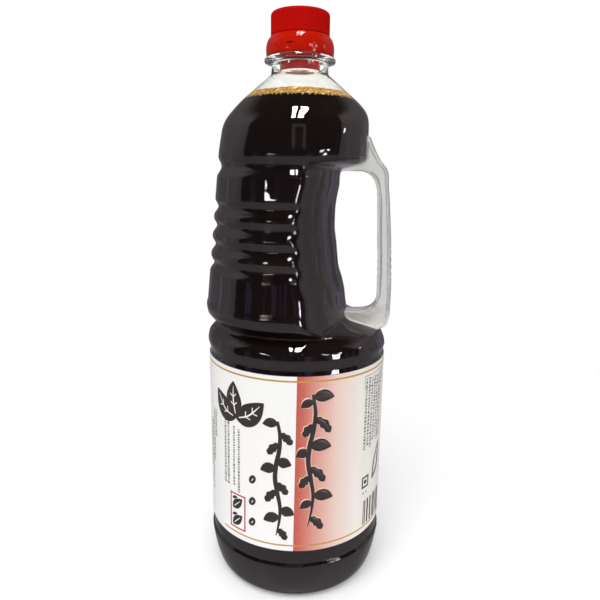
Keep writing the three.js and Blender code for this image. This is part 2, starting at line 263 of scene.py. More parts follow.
def bottle_shell():
    """The clear bottle as one closed wall: outside, over the mouth, inside and underside."""
    outside = wall_radii(0, BODY_HEIGHTS)
    seamed = (BODY_HEIGHTS > SEAM_ENDS[0]) & (BODY_HEIGHTS < SEAM_ENDS[1])
    outside = outside + seamed[:, None] * (seam_ridge(ANGLES)[None, :] - SEAM_RIDGE / 2)
    outside = np.minimum(outside, SHELL_LIMIT)
    inner_heights = BODY_HEIGHTS[BODY_HEIGHTS > RING_TOP]
    thickness = WALL + BORE_THICKENING * smooth_step(*BORE_BLEND, inner_heights)
    inside = wall_radii(0, inner_heights) - thickness[:, None]
    inside[inner_heights > BORE_BLEND[1]] = BORE_RADIUS
    inside = np.maximum(inside, BORE_RADIUS)
    parts = [
        floor_rings(0)[:-1],
        rings(ANGLES, BODY_HEIGHTS, outside),
        rings(ANGLES, inner_heights[::-1], inside[::-1]),
        floor_rings(WALL)[::-1],
    ]
    start = UNDERSIDE[0][1]
    return skin("bottle_shell", np.concatenate(parts), start, start + FLOOR_LIFT * WALL, sharp_angle=38)


def liquid_body():
    """The soy sauce, up to its level, a little inside the body's outside."""
    heights = BODY_HEIGHTS[(BODY_HEIGHTS > RING_TOP) & (BODY_HEIGHTS < LIQUID_LEVEL - RIM_STEP)]
    heights = np.append(heights, LIQUID_LEVEL)
    depth = LIQUID_DEPTH + RIM_GAP * smooth_step(*RIM_BLEND, heights)
    walls = rings(ANGLES, heights, wall_radii(0, heights) - depth[:, None])
    start = UNDERSIDE[0][1] + FLOOR_LIFT * LIQUID_DEPTH
    body = np.concatenate([floor_rings(LIQUID_DEPTH), walls])
    return skin("soy_liquid", body, start, LIQUID_LEVEL, sharp_angle=50)


def wavy(angles, waves, draw, size):
    """A closed random wave round the axis, as a sum of sines with these numbers of waves."""
    total = sum(draw.uniform(0.5, 1) * np.sin(n * angles + draw.uniform(0, TURN)) for n in waves)
    return size * total / math.sqrt(len(waves))


FOAM_SEED, FOAM_COLUMNS, FOAM_ROWS = 5, 480, 15
# Numbers of waves round the foam and their size, for the lobes of its foot and the bumps of its top
FOAM_LOBES = [(range(52, 116, 7), 0.85), (range(3, 9), 0.2)]
FOAM_CREST = [(range(21, 90, 8), 0.16), (range(2, 7), 0.25)]
FOAM_DIP, FOAM_GAP, DIMPLE_DEPTH, BUMP_HEIGHT, FOAM_FOOT = 0.1, 0.24, 0.05, 0.3, LIQUID_LEVEL + 0.05
# Rings across its top and underneath, as shares of its radius
FOAM_TOP_RINGS, FOAM_FOOT_RINGS = (0.97, 0.93, 0.86, 0.75, 0.6, 0.42, 0.2), (0.3, 0.9)


def foam_layer():
    """Froth at the liquid's edge, lobed below, with a bumpy top."""
    draw = np.random.default_rng(FOAM_SEED)
    angles = all_round(FOAM_COLUMNS)
    lobes = sum(wavy(angles, waves, draw, size) for waves, size in FOAM_LOBES)
    crest = sum(wavy(angles, waves, draw, size) for waves, size in FOAM_CREST)
    low, high = LIQUID_LEVEL - FOAM_DIP + lobes, FOAM_TOP + crest
    rows = np.linspace(0, 1, FOAM_ROWS)[:, None]
    heights = low + (high - low) * rows
    dimples = DIMPLE_DEPTH * draw.uniform(0, 1, heights.shape)
    side = body_radius(angles[None, :] + 0 * heights, heights) - FOAM_GAP - dimples
    inward = np.array(FOAM_TOP_RINGS)[:, None]
    top = high + BUMP_HEIGHT * draw.uniform(-1, 1, (len(inward), len(angles)))
    parts = [
        rings(angles, [FOAM_FOOT] * len(FOAM_FOOT_RINGS), np.outer(FOAM_FOOT_RINGS, side[0])),
        rings(angles, heights, side),
        rings(angles, top, inward * side[-1]),
    ]
    return skin("foam_layer", np.concatenate(parts), FOAM_FOOT, FOAM_TOP)


# Label and its print

LABEL_INSET, LABEL_COLUMNS, LABEL_ROWS = 0.02, 360, 34
# Where the wrap's ends overlap, half the overlap's width, its flat share and its thickness
OVERLAP_ANGLE, OVERLAP_HALF, OVERLAP_FLAT, OVERLAP_LIFT = math.radians(104), math.radians(5), 0.93, 0.1


def label_wrap():
    """A closed printed band; its ends overlap at the back."""
    angles = all_round(LABEL_COLUMNS)
    heights = np.linspace(LABEL_BOTTOM, LABEL_TOP, LABEL_ROWS)
    off = np.abs(angles - OVERLAP_ANGLE)
    lift = OVERLAP_LIFT * (1 - smooth_step(OVERLAP_HALF * OVERLAP_FLAT, OVERLAP_HALF, off))
    inner = np.full((len(heights), len(angles)), LABEL_RADIUS - LABEL_THICKNESS)
    outer = np.broadcast_to(LABEL_RADIUS - LABEL_INSET + lift, inner.shape)
    body = np.concatenate([rings(angles, heights, outer), rings(angles, heights[::-1], inner)])
    at = np.arange(len(body) * LABEL_COLUMNS).reshape(len(body), LABEL_COLUMNS)
    at = np.vstack([at, at[:1]])
    return make_mesh("label_wrap", body.reshape(-1, 3), grid_quads(at, True), sharp_angle=40)


def smooth_line(points, spacing):
    """Points of a smooth line through (s, z) points, about this far apart."""
    points = np.array(points, float)
    if len(points) == 2:
        steps = max(int(np.linalg.norm(points[1] - points[0]) / spacing), 1)
        return points[0] + (points[1] - points[0]) * np.linspace(0, 1, steps + 1)[:, None]
    padded = np.vstack([2 * points[0] - points[1], points, 2 * points[-1] - points[-2]])
    made = []
    for a, b, c, d in zip(padded[:-3], padded[1:-2], padded[2:-1], padded[3:]):
        steps = max(int(np.linalg.norm(c - b) / spacing), 2)
        t = np.linspace(0, 1, steps, endpoint=False)[:, None]
        made.append(0.5 * (2 * b + (c - a) * t + (2 * a - 5 * b + 4 * c - d) * t**2
                           + (3 * b - a - 3 * c + d) * t**3))
    return np.vstack(made + [points[-1:]])


# Each kind of stroke is a width that varies along its length, from 0 to 1


def even(t):
    return np.ones_like(t)


def leaf(t):
    return np.sin(np.pi * t**0.85) ** 0.85


def brush(t):
    return 0.25 + 0.75 * np.sin(np.pi * np.clip(t * 0.9 + 0.12, 0, 1)) ** 0.7


def dot(t):
    return np.sqrt(np.maximum(1 - (2 * t - 1) ** 2, 0))


def pod(t):
    return np.sin(np.pi * t) ** 0.45 * (0.86 + 0.14 * np.cos(TURN * 3 * (t - 1 / 6)))


# How deep the back of the print lies in the label, and the narrowest that a stroke gets
PRINT_ROOT, FINEST = 0.05, 0.05


class Print:
    """Shapes printed on the label, gathered into one thin closed mesh.

    A place is (s, z): s in millimetres along the label from the colour panel's edge, towards the handle.
    """

    def __init__(self, lift):
        self.radius = LABEL_RADIUS + lift
        self.points, self.faces, self.count = [], [], 0

    def stroke(self, points, width, outline=even, spacing=0.7, cross=2.0):
        line = smooth_line(points, spacing)
        along = np.concatenate([[0], np.cumsum(np.linalg.norm(np.diff(line, axis=0), axis=1))])
        half = np.maximum(width * outline(along / along[-1]), FINEST) / 2
        way = np.gradient(line, axis=0)
        way /= np.linalg.norm(way, axis=1)[:, None]
        side = np.stack([way[:, 1], -way[:, 0]], -1)
        across = np.linspace(-1, 1, max(int(width / cross), 1) + 1)
        flat = line[:, None] + side[:, None] * (half[:, None] * across)[..., None]
        lean = LABEL_LEAN * (flat[..., 1] - LABEL_TOP)
        angle = PANEL_EDGE + (flat[..., 0] + lean) / LABEL_RADIUS
        layers = [
            np.stack([r * np.cos(angle), r * np.sin(angle), flat[..., 1]], -1)
            for r in (self.radius, LABEL_RADIUS - PRINT_ROOT)
        ]
        rows, columns = angle.shape
        at = self.count + np.arange(2 * rows * columns).reshape(2, rows, columns)
        top, under = at
        border = [*top[:, 0], *top[-1, 1:], *top[-2::-1, -1], *top[0, -2:0:-1]]
        shift = rows * columns
        self.faces += [face[::-1] for face in grid_quads(top, False)] + grid_quads(under, False)
        for a, b in zip(border, border[1:] + border[:1]):
            self.faces.append([int(a), int(b), int(b) + shift, int(a) + shift])
        self.points += [layer.reshape(-1, 3) for layer in layers]
        self.count += 2 * shift

    def frame(self, left, right, low, high, width):
        edge = width / 2
        for s in (left, right):
            self.stroke([(s, low - edge), (s, high + edge)], width)
        for z in (low, high):
            self.stroke([(left, z), (right, z)], width)

    def make(self, name):
        made = make_mesh(name, np.vstack(self.points), self.faces)
        recalculate(made)
        return made


def recalculate(made):
    """Turns every face of a mesh outwards."""
    work = bmesh.new()
    work.from_mesh(made.data)
    bmesh.ops.recalc_face_normals(work, faces=work.faces)
    work.to_mesh(made.data)
    work.free()


STEM_MARKS, STEM_SWINGS, STEM_WIDTH, LEAF_CURL = 9, 1.6, 2.5, 0.08


def branch(prints, top, foot, sway, pieces, extra=0.0):
    """A hanging bean branch in brush strokes: a stem, with pods and leaves left and right of it.

    pieces holds (place along the stem, side, length, width, droop, outline).
    """
    start, end = np.array(top, float), np.array(foot, float)
    marks = np.linspace(0, 1, STEM_MARKS)
    swing = sway * np.sin(marks * TURN * STEM_SWINGS)
    stem = start + (end - start) * marks[:, None] + np.stack([swing, 0 * swing], -1)
    prints.stroke(stem, STEM_WIDTH + extra, brush)
    for place, side, length, width, droop, outline in pieces:
        root = np.array([np.interp(place, marks, stem[:, i]) for i in (0, 1)])
        reach = np.array([side * math.cos(droop), -math.sin(droop)]) * length
        curl = np.array([-reach[1], reach[0]]) * LEAF_CURL * side
        prints.stroke([root, root + reach * 0.5 + curl, root + reach], width + extra, outline)


RIGHT_BRANCH = [
    (0.02, 1, 11.5, 6.8, 0.05, leaf), (0.05, -1, 7.5, 4.8, 0.45, leaf),
    (0.17, 1, 12.5, 5.4, 0.8, pod), (0.22, -1, 8.5, 5.2, 0.9, pod),
    (0.38, 1, 12, 7.2, 0.1, leaf), (0.42, -1, 7.5, 5.6, 0.4, leaf),
    (0.54, 1, 12.5, 5.4, 0.8, pod), (0.61, -1, 8.5, 5.2, 0.9, pod),
    (0.76, 1, 11.5, 6.8, 0.2, leaf), (0.81, -1, 7.5, 5, 0.5, leaf),
    (0.93, 1, 10.5, 5.2, 0.85, pod),
]
LEFT_BRANCH = [
    (0.02, -1, 8.5, 5.4, 0.1, leaf), (0.1, 1, 9, 5, 0.75, pod),
    (0.19, -1, 9, 5.2, 0.8, pod), (0.35, 1, 8, 6.2, 0.15, leaf),
    (0.4, -1, 9, 6.2, 0.25, leaf), (0.53, 1, 9, 5, 0.8, pod),
    (0.6, -1, 9.5, 5.2, 0.85, pod), (0.77, 1, 8, 6.2, 0.3, leaf),
    (0.83, -1, 9.5, 6.2, 0.35, leaf), (0.94, 1, 8, 4.8, 0.95, pod),
]
# Leaves of the sprig in the upper left corner: middle and tip, with their width
SPRIG_FOOT = (-34.5, 106)
SPRIG = [
    ((-43.5, 109), (-51.5, 118.5), 12.5),
    ((-36.5, 116), (-36.5, 126.5), 11.5),
    ((-26, 109.5), (-17, 118), 12.5),
]
VEIN_WIDTH, SIDE_VEIN_WIDTH, SIDE_VEINS, SIDE_VEIN_REACH = 0.9, 0.6, (0.3, 0.62), 0.2


def sprig(ink, pale):
    """Three leaves from one foot, each with pale veins."""
    for middle, tip, width in SPRIG:
        ink.stroke([SPRIG_FOOT, middle, tip], width, leaf, cross=1.5)
        line = np.array([SPRIG_FOOT, middle, tip])
        near, far = line[0] * 0.75 + line[1] * 0.25, line[1] * 0.25 + line[2] * 0.75
        vein = [near, line[1], far]
        pale.stroke(vein, VEIN_WIDTH, brush, 0.5)
        along = (far - near) / np.linalg.norm(far - near)
        across = np.array([along[1], -along[0]])
        roots = smooth_line(vein, 0.5)
        for side in (-1, 1):
            for place in SIDE_VEINS:
                root = roots[int(place * (len(roots) - 1))]
                reach = (along * 0.8 + across * side) * width * SIDE_VEIN_REACH
                pale.stroke([root, root + reach], SIDE_VEIN_WIDTH)


SHORTEST_DASH, LAST_DASH = 0.4, 0.6


def dashes(prints, draw, s, high, low, width, longest, gap):
    """A column of short upright dashes, standing for a line of small print."""
    z = high
    while z > low + LAST_DASH:
        length = min(draw.uniform(SHORTEST_DASH, longest), z - low)
        prints.stroke([(s, z), (s, z - length)], width * draw.uniform(0.7, 1))
        z -= length + gap


# How far each ink stands off the label
PRINT_LIFTS = {"ink": 0.05, "halo": 0.03, "grey": 0.03, "red": 0.04, "pale": 0.07}
PRINT_SEED, HALO_WIDTH = 11, 1.3
# Top, foot and sway of the two branches
RIGHT_STEM, LEFT_STEM = ((8.5, 124), (8.5, 49), 1.6), ((-9.5, 109), (-8.5, 43), 1.4)
BEAN_HEIGHTS = (73.5, 60.5, 48)
RED_FRAME, FRAMED_LEAVES = (-38.9, -28.3, 40.2, 60.8, 0.85), (55.6, 45.4)
# Columns of small print: place along the label, top, foot and width
LEFT_PRINT = [
    (-43.6, 104, 64, 1.9), (-40.8, 103, 64, 1.9), (-36.2, 101, 65, 1.6), (-32.6, 100, 62, 1.6),
    (-54.8, 104, 88, 2), (-57.6, 104, 72, 2), (-60.4, 96, 52, 2), (-63.4, 96, 66, 2),
]
RIGHT_PRINT = [(42.6 + 2.9 * column, 127, 84, 1.9) for column in range(7)]
RIGHT_HEAD = (40.9, 62.4, 121.6, 128.4, 0.3)
PLAIN_SQUARE = (42.6, 48, 62.2, 68.2, 1)
BARS_START, BARS_END, BARS_LOW, BARS_HIGH = 44.6, 66, 38.5, 53.5
BAR_WIDTHS, BAR_GAPS = [0.5, 0.9, 1.4], [0.9, 1.3, 1.9]
# Ruled boxes on the far side: left, right, width of line, then the foot and top of each
BOX_LEFT, BOX_RIGHT, BOX_LINE, BOXES = 96, 150, 0.35, ((44, 78), (82, 100), (104, 124))
BOX_ROW, BOX_DASH = 4.2, 3.4


def beans(ink, pale):
    for z in BEAN_HEIGHTS:
        ink.stroke([(-25, z - 2.4), (-23.4, z), (-22.6, z + 2.4)], 3.9, dot, 0.3)
        pale.stroke([(-23.9, z - 1.1), (-22.9, z + 0.6)], 0.6, dot, 0.2)


def framed_leaves(ink, red, pale):
    red.frame(*RED_FRAME)
    for z in FRAMED_LEAVES:
        ink.stroke([(-37.2, z - 3.6), (-34.2, z - 0.6), (-30.2, z + 3.4)], 5.4, leaf, 0.4)
        pale.stroke([(-36, z - 2.4), (-34, z - 0.4), (-31.6, z + 1.9)], 0.55, brush, 0.4)
        ink.stroke([(-37.4, z + 2.2), (-35.6, z + 3.1), (-33.8, z + 3.5)], 1.7, brush, 0.4)


def small_print(grey, draw):
    for s, high, low, width in LEFT_PRINT:
        dashes(grey, draw, s, high, low, width, 1.5, 0.6)
    for s, high, low, width in RIGHT_PRINT:
        dashes(grey, draw, s, high - draw.uniform(0, 1), low + 6 * draw.uniform(0, 1), width, 1.6, 0.7)
    grey.frame(*RIGHT_HEAD)


def right_edge(ink, draw):
    """A leaf in outline, a plain square over two dots, and a set of bars that holds no code."""
    ink.stroke([(53, 64), (55, 75), (61, 84.5)], 1.4, brush, 0.5)
    ink.stroke([(53, 64), (59.6, 70), (61, 84.5)], 2, brush, 0.5)
    ink.frame(*PLAIN_SQUARE)
    ink.stroke([(44, 65.2), (46.6, 65.2)], 2.4, dot, 0.25)
    for s in (43.2, 46):
        ink.stroke([(s, 58.6), (s + 1.1, 58.6)], 1.1, dot, 0.25)
    s = BARS_START
    while s < BARS_END:
        width = draw.choice(BAR_WIDTHS)
        ink.stroke([(s, BARS_LOW), (s, BARS_HIGH)], width)
        s += width + draw.choice(BAR_GAPS)


def ruled_boxes(grey, draw):
    """Boxes on the far side, with rows of dashes of uneven length."""
    for low, high in BOXES:
        grey.frame(BOX_LEFT, BOX_RIGHT, low, high, BOX_LINE)
        for z in np.arange(low + 4, high - 2, BOX_ROW).tolist():
            length = draw.uniform(26, 50)
            for s in np.arange(BOX_LEFT + 2, BOX_LEFT + 2 + length, BOX_DASH).tolist():
                grey.stroke([(s, z), (s + draw.uniform(1.4, 2.7), z)], 0.8)


def printed_pieces():
    """All the print on the label, one piece for each ink."""
    prints = {key: Print(lift) for key, lift in PRINT_LIFTS.items()}
    ink, halo, grey, red, pale = prints.values()
    draw = np.random.default_rng(PRINT_SEED)
    branch(halo, *RIGHT_STEM, RIGHT_BRANCH, HALO_WIDTH)
    branch(ink, *RIGHT_STEM, RIGHT_BRANCH)
    branch(ink, *LEFT_STEM, LEFT_BRANCH)
    sprig(ink, pale)
    beans(ink, pale)
    framed_leaves(ink, red, pale)
    small_print(grey, draw)
    right_edge(ink, draw)
    ruled_boxes(grey, draw)
    return {key: made.make("print_" + key) for key, made in prints.items()}


# Handle

HANDLE_HALF, HANDLE_REACH, WEB_HALF = 6, 53.12, 1.3
RIM, ARM_RIM, ARM_GAP, ARM_SPAN = 1.3, 0.4, 0.12, (136, 262, 110)
GRIP_MARKS, GRIP_MARK_PITCH, GRIP_MARK_DEPTH = (176.6, 193.4), 4.2, 0.32
# Distance from the axis to the inside and to the middle of the long bar
BAR_START, BAR_MIDDLE = 43, 49.5
# Points of the outline: distance from the axis, height, and how far these move for each millimetre
# that the outline is drawn in. Bends: control point, end point and steps
HANDLE_START = [(16, 235.3, 0, -1), (34, 235.3, 0, 0.3)]
INNER_BENDS = [
    ((43.6, 234.6, 1, 0.4), (43.9, 222, 1, 0), 16),
    ((45.1, 198, 1, 0), (45.7, 171, 1, 0), 90),
    ((45.9, 160, 1, -1), (37, 159, 0, -1), 18),
]
HANDLE_FOOT = [(20, 157.6, 0, -1), (20, 140, 0, 0), (44, 140, 0, 0), (46.2, 148.6, -0.3, 1)]
OUTER_BENDS = [
    ((52.2, 150.2, -0.8, 1), (53, 155, -1, 0), 8),
    ((53.58, 180, -1, 0), (51.5, 203, -1, 0), 90),
    ((50.6, 217, -1, 0), (49.2, 229.5, -1, 0), 12),
    ((49.4, 235.4, -1, -0.3), (47.4, 237.4, -1, -0.3), 8),
    ((42, 243.6, -1, -0.6), (38.6, 253, -1, -0.8), 14),
]
HANDLE_TOP = [(30, 253, 0, -0.8), (16, 243, 0, 0)]
# How far the outline is drawn in at the rounded edge, by distance from the side
SIDE_EDGE = [(0.5, 0), (0.16, 0.14), (0, 0.5)]
# The same in a pocket, from its floor outwards, by distance from the middle
POCKET = [
    (RIM + 0.62, WEB_HALF), (RIM + 0.3, WEB_HALF + 0.1), (RIM + 0.08, WEB_HALF + 0.34),
    (RIM, WEB_HALF + 0.7), (RIM, HANDLE_HALF - 0.3), (RIM - 0.25, HANDLE_HALF + 0.2),
]


def drawn_in(points, inset):
    """The outline's points moved for this inset, as distance from the axis and height."""
    points = np.array(points, float)
    return points[..., :2] + inset * points[..., 2:]


def bend_between(start, control, end, steps):
    t = np.linspace(0, 1, steps + 1)[1:, None]
    return (1 - t) ** 2 * start + 2 * t * (1 - t) * control + t * t * end


def handle_outline(inset):
    """Outline of the handle as distance from the axis and height, drawn in by inset."""
    path = [drawn_in(HANDLE_START, inset)]
    for bends, corner in ((INNER_BENDS, HANDLE_FOOT), (OUTER_BENDS, HANDLE_TOP)):
        for control, end, steps in bends:
            path.append(bend_between(path[-1][-1], *drawn_in([control, end], inset), steps))
        path.append(drawn_in(corner, inset))
    points = np.vstack(path)
    reach, height = points.T
    marked = (reach > BAR_START) & (height > GRIP_MARKS[0]) & (height < GRIP_MARKS[1])
    ripple = (1 - np.cos(TURN * (height - GRIP_MARKS[0]) / GRIP_MARK_PITCH)) / 2
    depth = GRIP_MARK_DEPTH * (1 - ripple) * marked
    reach = reach + np.where(reach > BAR_MIDDLE, -depth, depth)
    return np.stack([np.minimum(reach, HANDLE_REACH), height], -1)


def handle_prism(name, layers):
    """A closed body over handle outlines, from (inset, y) layers in order of y."""
    outlines = [handle_outline(inset) for inset, y in layers]
    count = len(outlines[0])
    points = np.concatenate([
        np.stack([flat[:, 0], np.full(count, y), flat[:, 1]], -1)
        for flat, (inset, y) in zip(outlines, layers)
    ])
    at = np.arange(len(points)).reshape(len(layers), count)
    faces = grid_quads(at, True) + [at[0, ::-1].tolist(), at[-1].tolist()]
    made = make_mesh(name, points, faces)
    recalculate(made)
    return made


def cut(target, *tools):
    """Cuts the tools out of the target and removes them."""
    for tool in tools:
        change = target.modifiers.new("cut", "BOOLEAN")
        change.operation, change.solver, change.object = "DIFFERENCE", "EXACT", tool
    graph = bpy.context.evaluated_depsgraph_get()
    mesh = bpy.data.meshes.new_from_object(target.evaluated_get(graph))
    target.modifiers.clear()
    target.data = mesh
    for tool in tools:
        bpy.data.objects.remove(tool)


def body_envelope(clearance):
    """The body between the handle's arms, this much larger all round."""
    heights = stretches(ARM_SPAN)
    angles = ANGLES[::2]
    angle, height = np.meshgrid(angles, heights)
    body = rings(angles, heights, body_radius(angle, height) + clearance)
    return skin("body_envelope", body, heights[0], heights[-1])


def handle_grip():
    """The handle: a thin web inside a thicker rim, cut to stand clear of the body."""
    layers = [(inset, step - HANDLE_HALF) for inset, step in SIDE_EDGE]
    layers += [(inset, -y) for inset, y in reversed(layers)]
    made = handle_prism("handle_grip", layers)
    near = handle_prism("near_pocket", [(inset, -y) for inset, y in reversed(POCKET)])
    far = handle_prism("far_pocket", POCKET)
    for pocket in (near, far):
        cut(pocket, body_envelope(ARM_GAP + ARM_RIM))
    cut(made, near, far, body_envelope(ARM_GAP))
    made.data.shade_smooth()
    made.data.set_sharp_from_angle(angle=math.radians(32))
    return made


# Cap

SEAM_LOW, SEAM_TOP, CAP_TOP = 303.4, 303.55, 315.15
LID_RADIUS, LID_RIBS, RIB_DEPTH, RIB_POINTS, LID_FILLET = 15.5, 120, 0.2, 6, 1.7
# Heights between which the ribs begin and end
RIBS_BEGIN, RIBS_END = (304.5, 305.1), (CAP_TOP, 313.8)
# The lid's profile below its rounding and on its top, which is dished, as radius and height
LID_DISH = CAP_TOP - 0.3
LID_FOOT = [(8, SEAM_TOP), (15.1, SEAM_TOP), (15.4, SEAM_TOP + 0.04), (LID_RADIUS, SEAM_TOP + 0.16)]
LID_HEIGHTS = (304.7, 305.2, 309, 312.2, 313.4)
LID_CROWN = [(LID_RADIUS - LID_FILLET, CAP_TOP), (12.4, CAP_TOP), (12.1, LID_DISH), (4, LID_DISH)]
# Height of the edge of the pale disc under the plug, in metres, and how much it glows; its white and its
# glow are painted light, standing in for the bright band of light refracted in the neck's thick wall
GLOWING_DISC_TOP, DISC_GLOW = 0.28656, 0.6
PLUG_RADIUS, PLUG_BOTTOM, SKIRT_ROOF, SKIRT_INSIDE, SKIRT_FOOT = 10.9, 287.5, 300.3, 15.1, 293.3
# Radius and height from the middle of the plug's underside to the skirt's foot
PLUG = [
    (6, 286.8), (10, 286.3), (10.6, 286.32), (PLUG_RADIUS, 286.55), (PLUG_RADIUS, SKIRT_ROOF),
    (SKIRT_INSIDE, SKIRT_ROOF), (SKIRT_INSIDE, 293.5), (15.3, SKIRT_FOOT), (17.2, SKIRT_FOOT),
]
# Height and radius of the skirt
SKIRT = [(SKIRT_FOOT, 17.5), (293.5, 17.65), (295.4, 17.95), (297.2, 18), (299.2, 17.75), (301.2, 17.1),
         (302.7, 16.1), (SEAM_LOW, 15.5)]
SKIRT_COLUMNS, SKIRT_RADIUS, SKIRT_LIMIT = 480, 18, 18.05
PARTING_LINE, PARTING_DEPTH, PARTING_HALF = 297.6, 0.1, 0.4
# Small marks on the skirt: depth (less than 0 stands out), degrees, height, half width, half height
SKIRT_MARKS = [
    (1.3, -96.5, 297.6, 2.7, 0.55), (1.1, -123.9, 296.6, 1, 1.3),
    (-0.16, -95.6, 295.6, 0.5, 1.6), (-0.16, -57.4, 299.6, 0.5, 1.5),
]


def cap_top():
    angles = all_round(LID_RIBS * RIB_POINTS)
    side = LID_FOOT + [(LID_RADIUS, z) for z in LID_HEIGHTS]
    for degrees in range(6, 90, 8):
        turn = math.radians(degrees)
        side.append((LID_RADIUS - LID_FILLET * (1 - math.cos(turn)),
                     CAP_TOP - LID_FILLET * (1 - math.sin(turn))))
    body = level_rings(angles, side + LID_CROWN)
    height = body[..., 2]
    ribbed = smooth_step(*RIBS_BEGIN, height) * smooth_step(*RIBS_END, height)
    valley = 0.5 - 0.5 * np.cos(LID_RIBS * angles)
    scale = 1 - RIB_DEPTH / LID_RADIUS * ribbed * valley
    body[..., :2] *= scale[..., None]
    return skin("cap_top", body, SEAM_TOP, LID_DISH, sharp_angle=50)


def cap_skirt():
    """Skirt, flat top and plug in one moulding, with a fine parting line and small gate marks."""
    angles = all_round(SKIRT_COLUMNS)
    heights = stretches((SKIRT_FOOT, 297, 24), (297, 298.2, 16), (298.2, SEAM_LOW, 36))
    angle, height = np.meshgrid(angles, heights)
    radii = curve_through(SKIRT)(height)
    radii -= PARTING_DEPTH * bump(height - PARTING_LINE, PARTING_HALF)
    for depth, degrees, middle, width, tall in SKIRT_MARKS:
        off = (angle - math.radians(degrees) + np.pi) % TURN - np.pi
        radii -= depth * bump(np.hypot(off * SKIRT_RADIUS / width, (height - middle) / tall), 1)
    radii = np.minimum(radii, SKIRT_LIMIT)
    crown = level_rings(angles, [(14.8, SEAM_LOW), (8, SEAM_LOW)])
    body = np.concatenate([level_rings(angles, PLUG), rings(angles, heights, radii), crown])
    return skin("cap_skirt", body, PLUG_BOTTOM, SEAM_LOW, sharp_angle=45)


# Materials


def colour(red, green, blue):
    """A screen colour of 0 to 255 as a linear colour."""
    parts = [value / 255 for value in (red, green, blue)]
    return [v / 12.92 if v <= 0.04045 else ((v + 0.055) / 1.055) ** 2.4 for v in parts] + [1]


# The handle lets through less light at its foot, between these heights in metres
HANDLE_CLEARNESS, CLOUD_CLEARNESS, CLOUD_ENDS = 0.78, 0.2, (0.163, 0.156)
CLOUD_COLOUR = (0.9, 0.885, 0.86, 1)
# Bubbles of the froth for a metre, dark specks and painted glints for a metre, and the bubbles' colours
# from the middle to the edge
BUBBLES, SPECKS_AND_GLINTS = 1150, 1000
BUBBLE_COLOURS = [(0.08, colour(248, 222, 150)), (0.3, colour(226, 182, 88)), (0.6, colour(196, 146, 52)),
                  (0.9, colour(140, 96, 36))]
# The colour panel's colours from its left edge to its end, the softness of the edge in radians, and
# the angle at which the cream paper behind it ends
PANEL_COLOURS = [(0, colour(192, 66, 48)), (0.08, colour(201, 88, 70)), (0.27, colour(222, 152, 138)),
                 (0.52, colour(236, 206, 196)), (0.85, colour(248, 244, 236))]
EDGE_SOFT, CREAM_END = 0.003, math.radians(60)
# Heights of the two gold lines and the softness of their edges in metres, and where the lower begins
GOLD_HIGH, GOLD_LOW, GOLD_SOFT, GOLD_START = (0.1305, 0.1315), (0.0368, 0.0377), 0.0001, math.radians(-129)
# White of the disc under the plug: painted light for the bright band refracted in the neck
DISC_PAINTED_LIGHT = colour(252, 250, 246)
# Sockets of the node that mixes two colours
MIX_FIRST, MIX_SECOND, MIX_RESULT = 6, 7, 2


class Nodes:
    """A node tree, with short ways to add what it needs."""

    def __init__(self, tree):
        self.nodes, self.links = tree.nodes, tree.links

    def join(self, value, socket):
        """Links an output to the socket, or gives the socket a plain value."""
        if isinstance(value, bpy.types.NodeSocket):
            self.links.new(value, socket)
        else:
            socket.default_value = value

    def node(self, kind, inputs=(), **properties):
        made = self.nodes.new("ShaderNode" + kind)
        for key, value in properties.items():
            setattr(made, key, value)
        for key, value in dict(inputs).items():
            self.join(value, made.inputs[key])
        return made

    def math(self, operation, *values):
        return self.node("Math", dict(enumerate(values)), operation=operation).outputs[0]

    def times(self, first, second):
        return self.math("MULTIPLY", first, second)

    def spread(self, value, low, high, start=0.0, end=1.0):
        """Goes from start to end as the value goes from low to high."""
        inputs = {"Value": value, 1: low, 2: high, 3: start, 4: end}
        return self.node("MapRange", inputs).outputs[0]

    def mix(self, factor, first, second):
        made = self.node("Mix", {"Factor": factor}, data_type="RGBA")
        self.join(first, made.inputs[MIX_FIRST])
        self.join(second, made.inputs[MIX_SECOND])
        return made.outputs[MIX_RESULT]


class Finish(Nodes):
    """A material round one shader."""

    def __init__(self, name, **settings):
        self.material = bpy.data.materials.new(name)
        self.material.use_nodes = True
        super().__init__(self.material.node_tree)
        self.shader = self.nodes["Principled BSDF"]
        for key, value in settings.items():
            self.shader.inputs[key.replace("_", " ")].default_value = value
        self.place = self.node("TexCoord").outputs["Object"]

    def parts(self):
        """The place on the piece, in metres, as X, Y and Z."""
        return self.node("SeparateXYZ", {"Vector": self.place}).outputs

    def noise(self, scale, detail):
        inputs = {"Vector": self.place, "Scale": scale, "Detail": detail}
        return self.node("TexNoise", inputs).outputs["Fac"]

    def cells(self, scale, output):
        return self.node("TexVoronoi", {"Vector": self.place, "Scale": scale}).outputs[output]

    def mottled(self, first, second, scale, detail=3):
        """A colour that drifts between two."""
        return self.mix(self.noise(scale, detail), first, second)

    def ramp(self, factor, stops):
        made = self.node("ValToRGB", {"Fac": factor})
        ramp = made.color_ramp
        while len(ramp.elements) < len(stops):
            ramp.elements.new(0.5)
        for element, (place, value) in zip(ramp.elements, stops):
            element.position, element.color = place, value
        return made.outputs["Color"]

    def within(self, value, low, high, soft):
        """1 where value lies between low and high."""
        return self.times(self.spread(value, low - soft, low + soft),
                          self.spread(value, high + soft, high - soft))

    def paint(self, value, socket="Base Color"):
        self.links.new(value, self.shader.inputs[socket])

    def relief(self, height, strength, distance):
        """Makes the surface look raised by height times distance, in metres."""
        inputs = {"Height": height, "Strength": strength, "Distance": distance}
        self.paint(self.node("Bump", inputs).outputs["Normal"], "Normal")


def shell_finish():
    made = Finish("clear_blown", Transmission_Weight=1, Roughness=0.02, IOR=1.5)
    # A faint green tint in the clear plastic: partly its own tint, partly a painted reflection of something
    # green beside it
    made.paint(made.mottled((0.96, 0.985, 0.955, 1), (1, 1, 0.99, 1), 35))
    made.relief(made.noise(70, 2), 0.1, 0.002)
    return made


